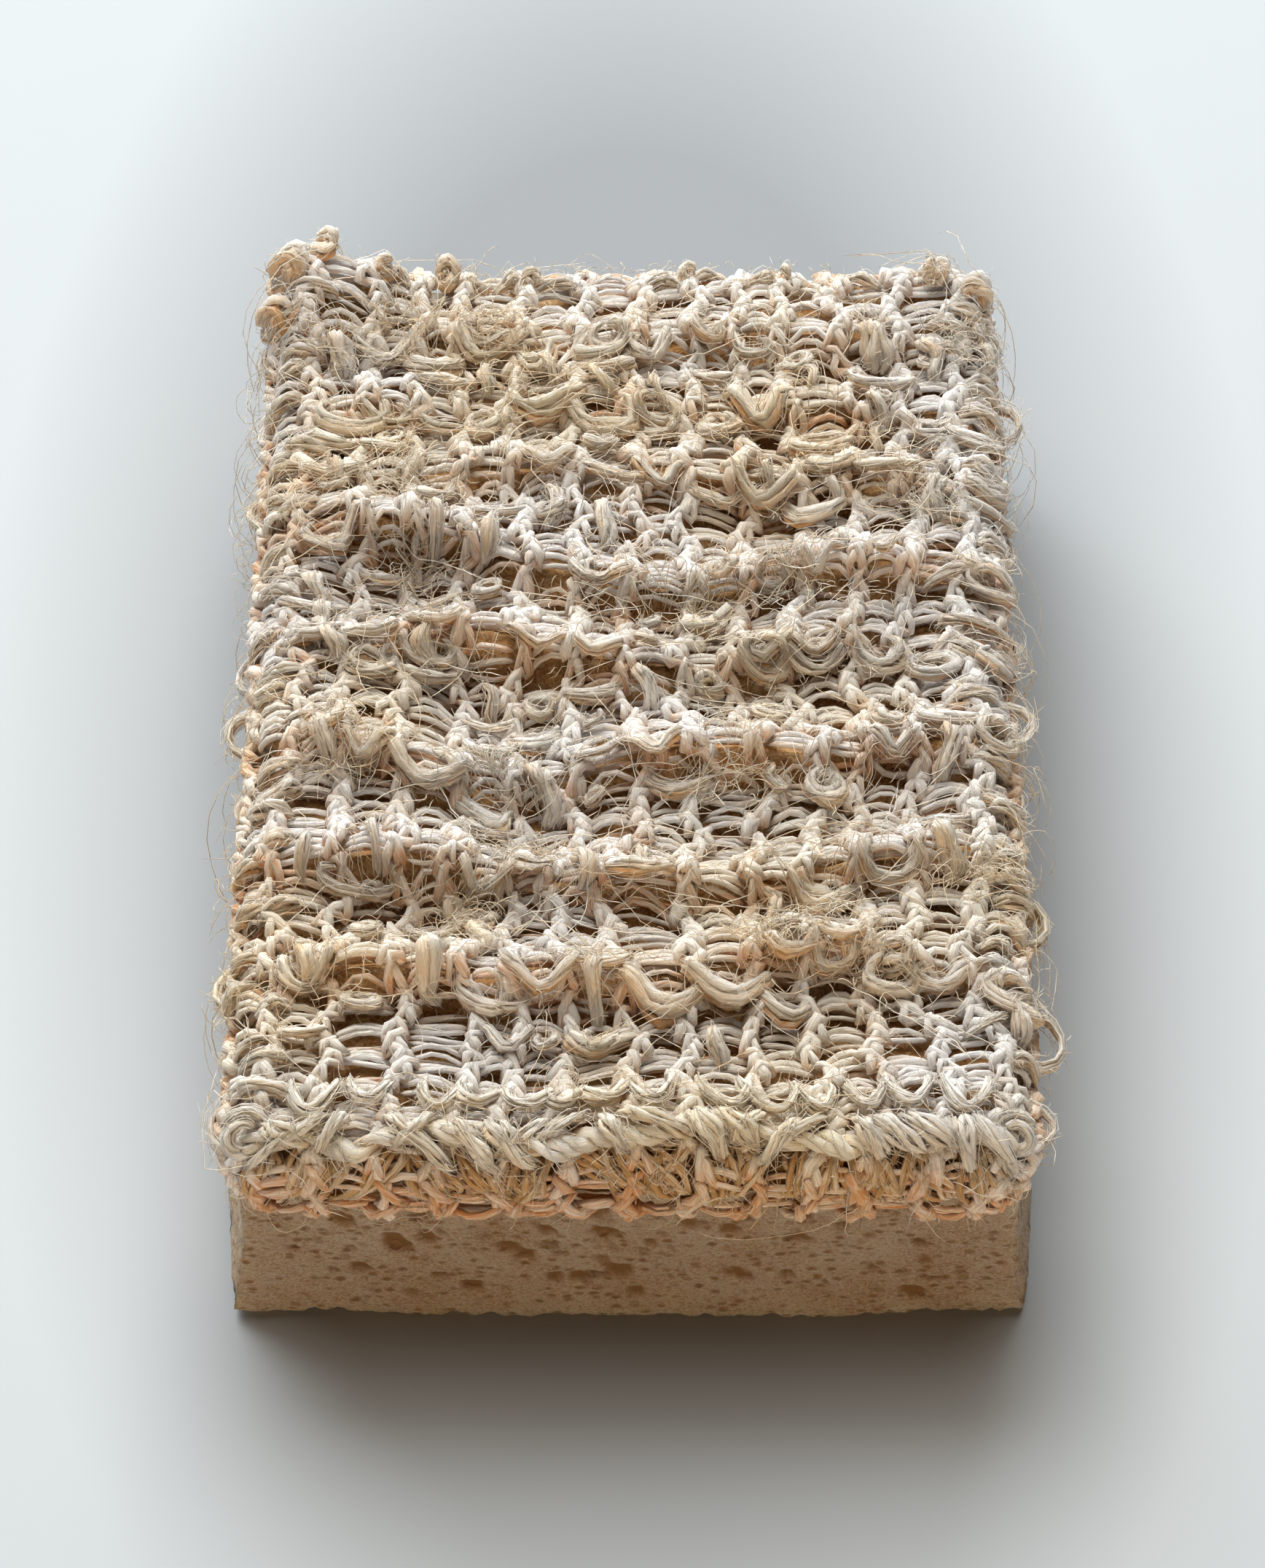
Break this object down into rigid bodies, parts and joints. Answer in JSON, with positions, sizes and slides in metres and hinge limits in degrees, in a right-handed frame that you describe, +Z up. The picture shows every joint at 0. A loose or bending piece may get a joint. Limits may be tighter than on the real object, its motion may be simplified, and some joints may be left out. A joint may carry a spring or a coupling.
{
  "type": "scrub sponge",
  "caption": "Hand-sized scrub sponge: a porous cellulose block with a coarse ladder-knit cloth of bast fibre bonded to its top and rolled down round its edges.",
  "frame": {"origin": "on the surface the sponge stands on, under the middle of its box", "axes": "+X across the width, +Y along the length from front to back, +Z up out of the scrub face"},
  "size_m": [0.0824, 0.1244, 0.0319],
  "materials": {
    "cellulose": "matt open-pored regenerated cellulose, dry",
    "bast_knit": "undyed plied bast yarn, loosely knitted, hairy and dry"
  },
  "bodies": {
    "root": {"cellulose_sponge": "cellulose", "scrub_cloth": "bast_knit"}
  },
  "joints": []
}
